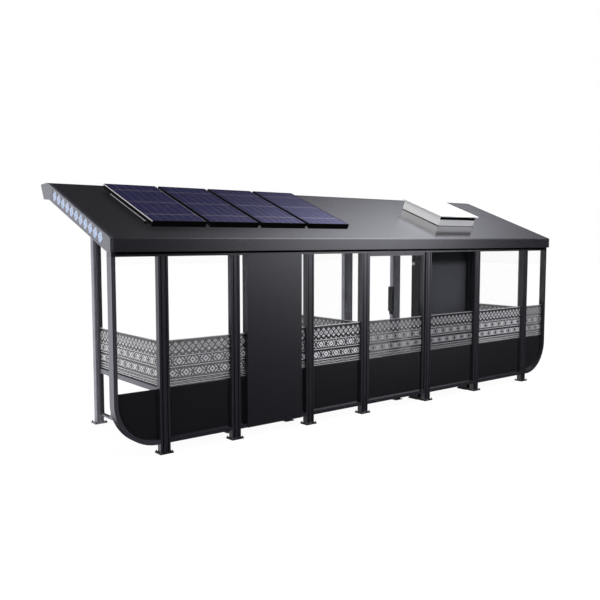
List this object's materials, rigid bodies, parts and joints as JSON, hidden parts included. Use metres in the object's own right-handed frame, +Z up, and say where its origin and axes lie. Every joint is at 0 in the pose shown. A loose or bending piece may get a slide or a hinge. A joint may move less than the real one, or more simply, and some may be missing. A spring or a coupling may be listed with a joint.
{
  "type": "bus shelter",
  "caption": "Long enclosed bus shelter with a pitched roof, rounded hoop frame, patterned glass walls, solar panels and an open boarding side.",
  "frame": {"origin": "on the ground at the middle of the shelter's box", "axes": "+X along the shelter to the right when its closed front is faced, +Y towards the open high side, +Z up"},
  "size_m": [8.45, 2.1, 3.2368],
  "materials": {
    "anthracite_coat": "semi-gloss powder coat",
    "infill": "satin powder coat",
    "glass": "clear toughened glass with a printed band",
    "display_face": "satin dark panel",
    "soffit": "matt powder coat",
    "aluminium": "anodised",
    "solar_cells": "glazed polycrystalline cells",
    "white_coat": "gloss white powder coat",
    "white_plastic": "gloss",
    "wood": "oiled hardwood"
  },
  "bodies": {
    "root": {"front_post_1": "anthracite_coat", "front_post_2": "anthracite_coat", "front_post_3": "anthracite_coat", "front_post_4": "anthracite_coat", "front_post_5": "anthracite_coat", "front_post_6": "anthracite_coat", "front_post_7": "anthracite_coat", "back_post_1": "anthracite_coat", "back_post_2": "anthracite_coat", "back_post_3": "anthracite_coat", "back_post_4": "anthracite_coat", "back_post_5": "anthracite_coat", "hoop_top_rail": "anthracite_coat", "hoop_bottom_rail": "anthracite_coat", "hoop_end_left": "anthracite_coat", "hoop_end_right": "anthracite_coat", "infill_end_left": "infill", "infill_panels": "infill", "infill_end_right": "infill", "front_glass_left": "glass", "front_glass_right": "glass", "centre_window_frame": "anthracite_coat", "information_panel": "display_face", "display_board": "display_face", "display_columns": "anthracite_coat", "cross_wall_left": "anthracite_coat", "cross_wall_middle": "anthracite_coat", "cross_wall_right": "anthracite_coat", "cross_glass_left": "glass", "cross_glass_middle": "glass", "cross_glass_right": "glass", "rafters": "anthracite_coat", "back_header": "anthracite_coat", "soffit": "soffit", "eave_fascia": "anthracite_coat", "verge_left": "anthracite_coat", "verge_right": "anthracite_coat", "roof_skin": "anthracite_coat", "solar_rails": "aluminium", "solar_panel_1": "solar_cells", "solar_panel_2": "solar_cells", "solar_panel_3": "solar_cells", "solar_panel_4": "solar_cells", "vent_curb": "white_coat", "vent_lid": "white_coat", "perch_frames": "anthracite_coat", "perch_boards": "wood", "post_terminal": "anthracite_coat", "sensor_dome": "white_plastic"}
  },
  "joints": []
}
